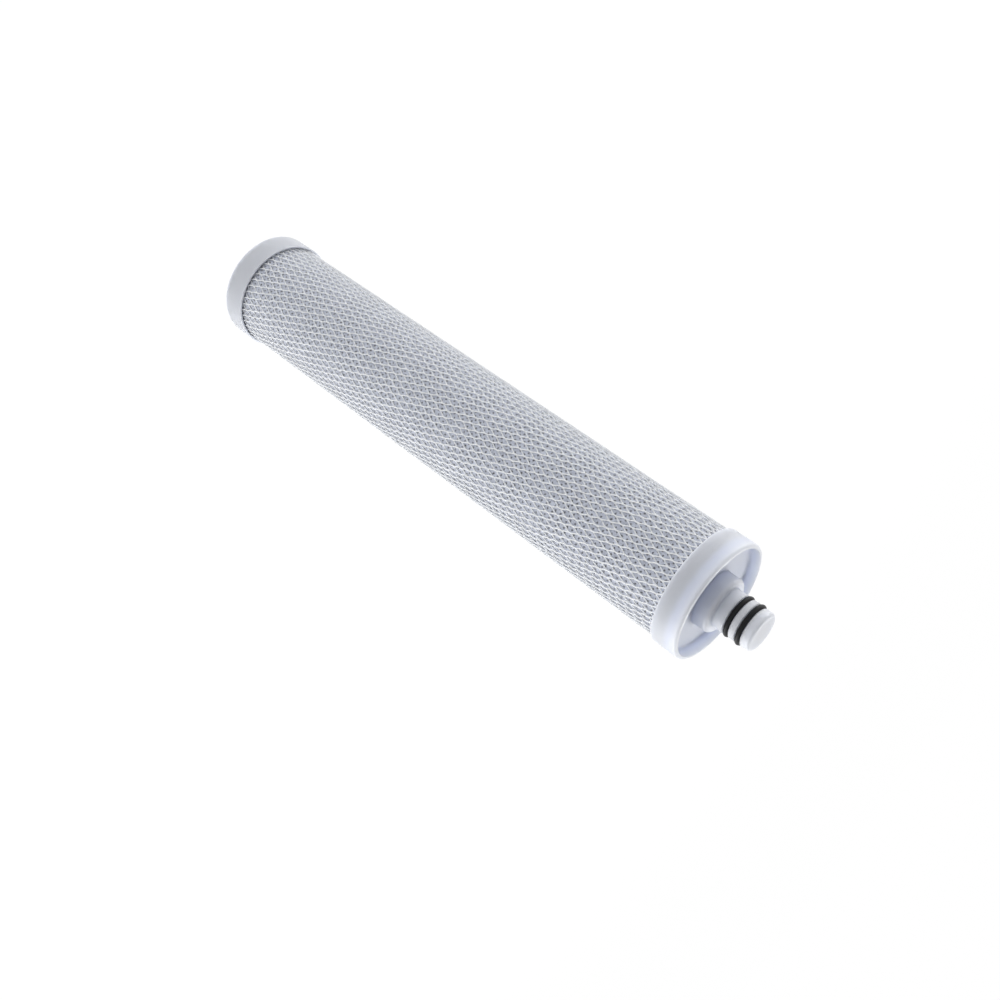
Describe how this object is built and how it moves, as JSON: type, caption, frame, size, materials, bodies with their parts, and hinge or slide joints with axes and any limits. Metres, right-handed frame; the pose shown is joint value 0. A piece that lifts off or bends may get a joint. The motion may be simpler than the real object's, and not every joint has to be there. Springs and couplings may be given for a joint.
{
  "type": "water cooler carbon filter cartridge",
  "caption": "Long round carbon filter cartridge for a water cooler: netted, wrapped carbon block between white end caps, with an O-ring sealed outlet nozzle.",
  "frame": {"origin": "centre of the closed end cap's outer face, on which the cartridge stands", "axes": "+Z along the cartridge's axis from the closed end to the outlet nozzle; X and Y are any two directions across it"},
  "size_m": [0.0636, 0.0636, 0.3632],
  "materials": {
    "cap_plastic": "satin white moulded polypropylene",
    "seal_rubber": "satin black rubber",
    "net_plastic": "white polyethylene netting",
    "wrap_felt": "thin point-bonded nonwoven",
    "carbon": "extruded activated carbon",
    "lining_felt": "thin nonwoven",
    "glue": "set hot-melt glue"
  },
  "bodies": {
    "root": {"closed_end_cap": "cap_plastic", "outlet_end_cap": "cap_plastic", "inner_o_ring": "seal_rubber", "outer_o_ring": "seal_rubber", "outer_net": "net_plastic", "outer_wrap": "wrap_felt", "carbon_block": "carbon", "inner_wrap": "lining_felt", "closed_end_glue": "glue", "outlet_end_glue": "glue"}
  },
  "joints": []
}
